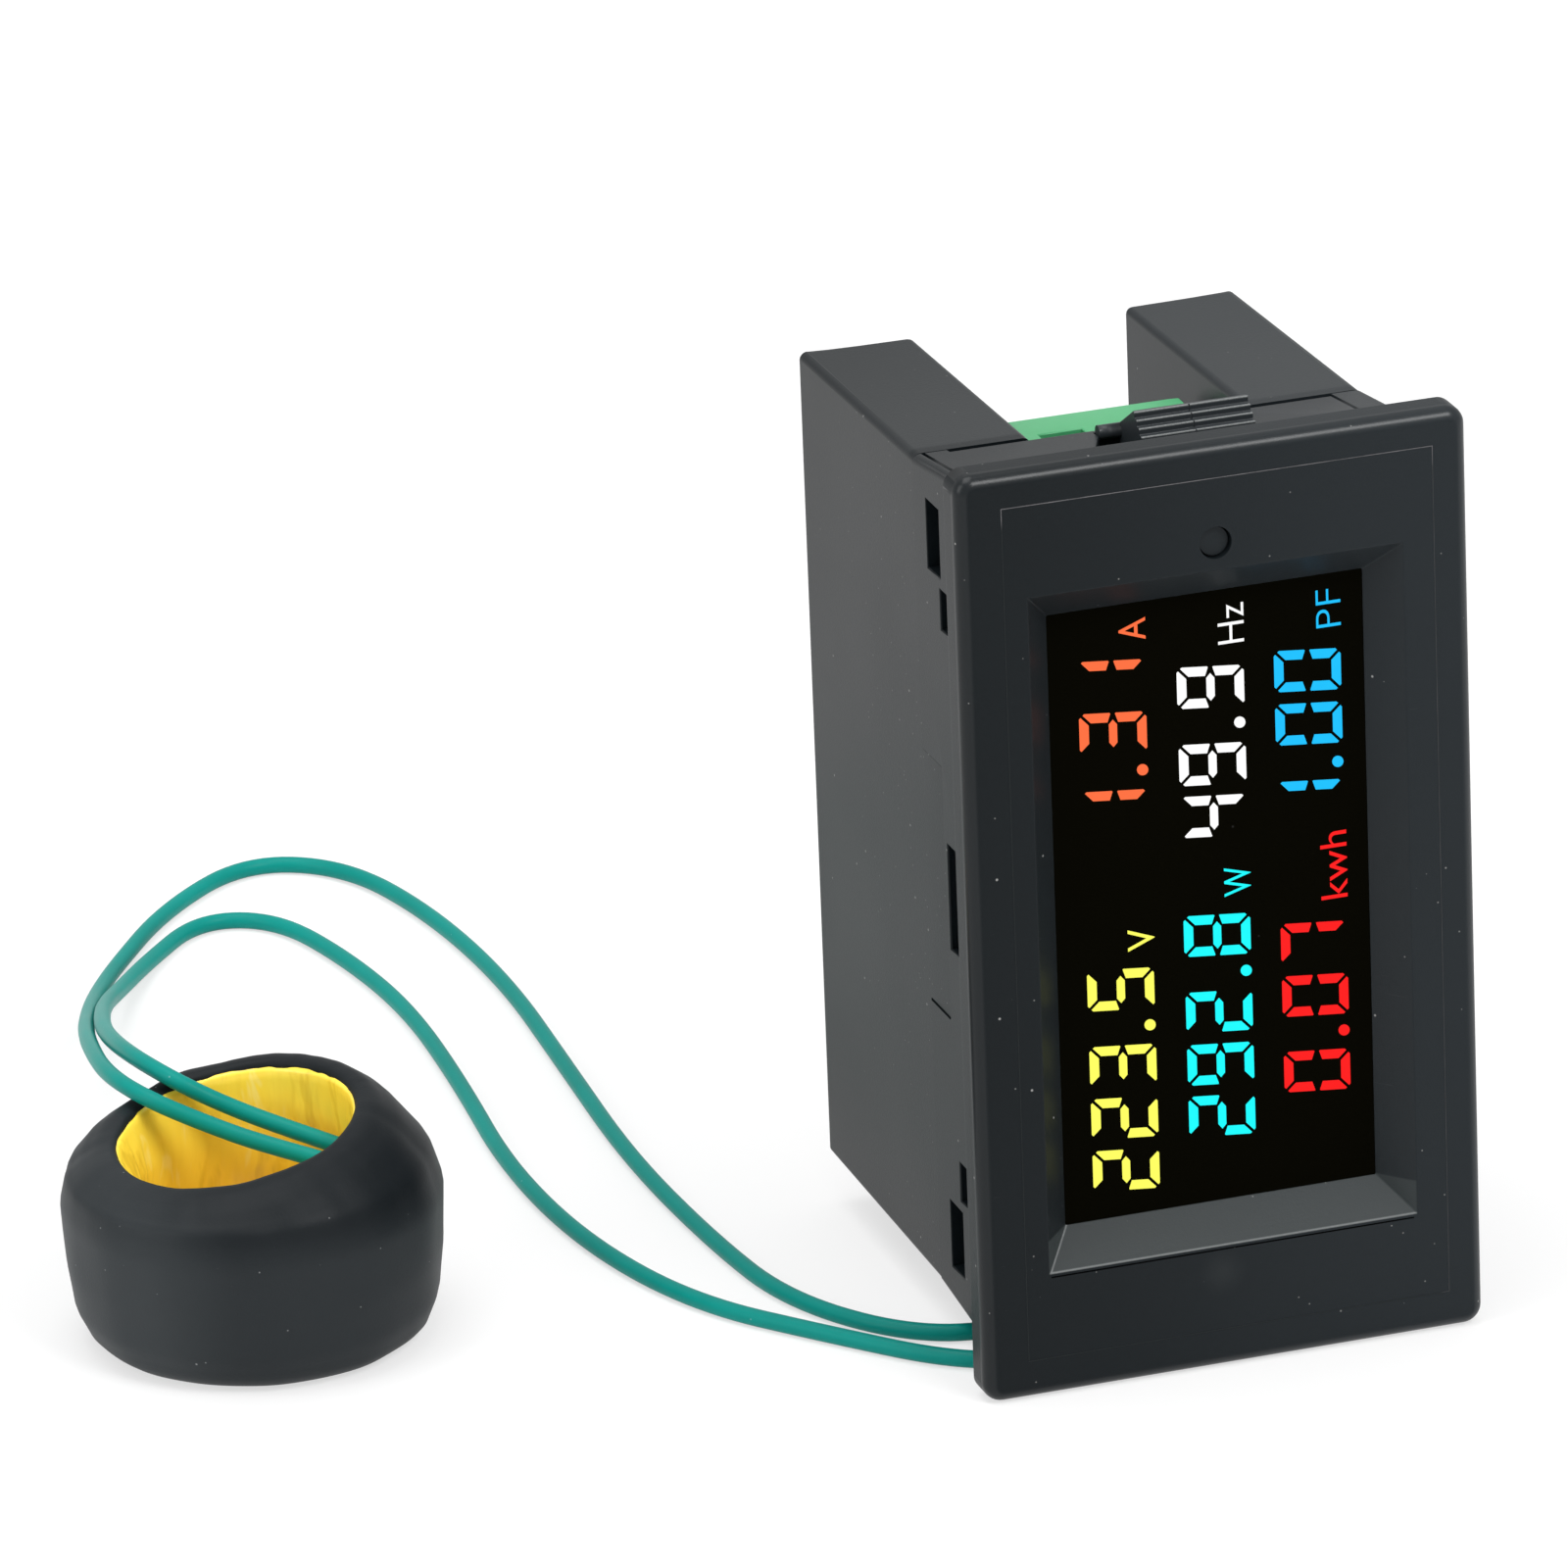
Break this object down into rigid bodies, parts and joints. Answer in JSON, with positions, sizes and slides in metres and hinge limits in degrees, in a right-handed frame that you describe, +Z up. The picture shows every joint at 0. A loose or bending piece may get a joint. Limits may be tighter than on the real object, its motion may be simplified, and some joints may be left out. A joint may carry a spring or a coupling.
{
  "type": "digital power meter",
  "caption": "Rectangular panel power meter with a colour display, push button, screw terminals and a wired ring current transformer.",
  "frame": {"origin": "bottom centre of the box around the meter without its leads and transformer", "axes": "+X across the short side to the right as seen from the front, +Y from the bezel to the rear, +Z up the long side"},
  "size_m": [0.1079, 0.1398, 0.079],
  "materials": {
    "charcoal_plastic": "satin",
    "button_plastic": "gloss",
    "black_plastic": "matt",
    "white_plastic": "matt",
    "yellow_plastic": "gloss",
    "green_plastic": "satin",
    "blue_plastic": "satin",
    "window_sheet": "clear gloss",
    "display_glass": "gloss",
    "film": "satin",
    "light_guide": "clear",
    "board_laminate": "solder resist",
    "capacitor_can": "sleeved",
    "tinned_metal": "tinned",
    "plated_steel": "plated",
    "core_steel": "matt",
    "copper": "bright",
    "label_stock": "satin",
    "yellow_tape": "gloss",
    "sleeve_rubber": "matt",
    "lead_insulation": "satin"
  },
  "bodies": {
    "meter": {"front_frame": "charcoal_plastic", "rear_housing": "charcoal_plastic", "rear_label": "label_stock", "tact_switch": "black_plastic", "display_window": "window_sheet", "lcd_glass": "display_glass", "colour_film": "film", "diffuser": "film", "light_guide": "light_guide", "backlight_leds": "light_guide", "lcd_holder": "white_plastic", "lcd_pins": "tinned_metal", "display_board": "board_laminate", "controller_chip": "black_plastic", "metering_chip": "black_plastic", "timing_crystal": "tinned_metal", "display_board_parts": "black_plastic", "board_link_pins": "tinned_metal", "board_link_header": "black_plastic", "power_board": "board_laminate", "board_spacers": "white_plastic", "board_screws": "plated_steel", "transformer_core": "core_steel", "transformer_bobbin": "white_plastic", "storage_capacitors": "capacitor_can", "filter_capacitor": "yellow_plastic", "surge_varistor": "blue_plastic", "input_fuse": "white_plastic", "bridge_rectifier": "black_plastic", "burden_resistors": "black_plastic", "voltage_regulator": "black_plastic", "green_terminal": "green_plastic", "blue_terminal": "blue_plastic", "green_contacts": "tinned_metal", "blue_contacts": "tinned_metal", "lead_conductors": "copper", "ct_core": "core_steel", "ct_winding": "copper", "ct_tape": "yellow_tape", "ct_sleeve": "sleeve_rubber", "lead_outer": "lead_insulation", "lead_inner": "lead_insulation"},
    "button": {"button_cap": "button_plastic", "switch_plunger": "black_plastic"},
    "top_clip": {"top_clip": "charcoal_plastic"},
    "bottom_clip": {"bottom_clip": "charcoal_plastic"},
    "green_screw_left": {"green_screw_left": "plated_steel"},
    "green_cage_left": {"green_cage_left": "plated_steel"},
    "green_screw_right": {"green_screw_right": "plated_steel"},
    "green_cage_right": {"green_cage_right": "plated_steel"},
    "blue_screw_left": {"blue_screw_left": "plated_steel"},
    "blue_cage_left": {"blue_cage_left": "plated_steel"},
    "blue_screw_right": {"blue_screw_right": "plated_steel"},
    "blue_cage_right": {"blue_cage_right": "plated_steel"}
  },
  "joints": [
    {"name": "button_press", "type": "slide", "parent": "meter", "child": "button", "axis": [0, 1, 0], "range_m": [0, 0.00035], "stiffness_N_per_m": 4000, "springref_m": -0.0001},
    {"name": "top_clip_flex", "type": "hinge", "parent": "meter", "child": "top_clip", "pos_m": [0.00145, -0.00805, 0.07586], "axis": [1, 0, 0], "range_deg": [0, 10], "stiffness_Nm_per_rad": 0.45},
    {"name": "bottom_clip_flex", "type": "hinge", "parent": "meter", "child": "bottom_clip", "pos_m": [0.00145, -0.00805, 0.00314], "axis": [-1, 0, 0], "range_deg": [0, 10], "stiffness_Nm_per_rad": 0.45},
    {"name": "green_screw_left_turn", "type": "hinge", "parent": "meter", "child": "green_screw_left", "pos_m": [-0.00381, 0.00695, 0.0692], "axis": [0, -1, 0], "range_deg": [0, 1155]},
    {"name": "green_cage_left_lift", "type": "slide", "parent": "meter", "child": "green_cage_left", "axis": [0, 1, 0], "range_m": [0, 0.0016]},
    {"name": "green_screw_right_turn", "type": "hinge", "parent": "meter", "child": "green_screw_right", "pos_m": [0.00381, 0.00695, 0.0692], "axis": [0, -1, 0], "range_deg": [0, 1155]},
    {"name": "green_cage_right_lift", "type": "slide", "parent": "meter", "child": "green_cage_right", "axis": [0, 1, 0], "range_m": [0, 0.0016]},
    {"name": "blue_screw_left_turn", "type": "hinge", "parent": "meter", "child": "blue_screw_left", "pos_m": [-0.00381, 0.00695, 0.0098], "axis": [0, -1, 0], "range_deg": [-1155, 0]},
    {"name": "blue_cage_left_lift", "type": "slide", "parent": "meter", "child": "blue_cage_left", "axis": [0, 1, 0], "range_m": [-0.0016, 0]},
    {"name": "blue_screw_right_turn", "type": "hinge", "parent": "meter", "child": "blue_screw_right", "pos_m": [0.00381, 0.00695, 0.0098], "axis": [0, -1, 0], "range_deg": [-1155, 0]},
    {"name": "blue_cage_right_lift", "type": "slide", "parent": "meter", "child": "blue_cage_right", "axis": [0, 1, 0], "range_m": [-0.0016, 0]}
  ],
  "couplings": [
    {"joint": "green_screw_left_turn", "follows": "green_cage_left_lift", "rad_per_m": 12566},
    {"joint": "green_screw_right_turn", "follows": "green_cage_right_lift", "rad_per_m": 12566},
    {"joint": "blue_screw_left_turn", "follows": "blue_cage_left_lift", "rad_per_m": 12566},
    {"joint": "blue_screw_right_turn", "follows": "blue_cage_right_lift", "rad_per_m": 12566}
  ]
}
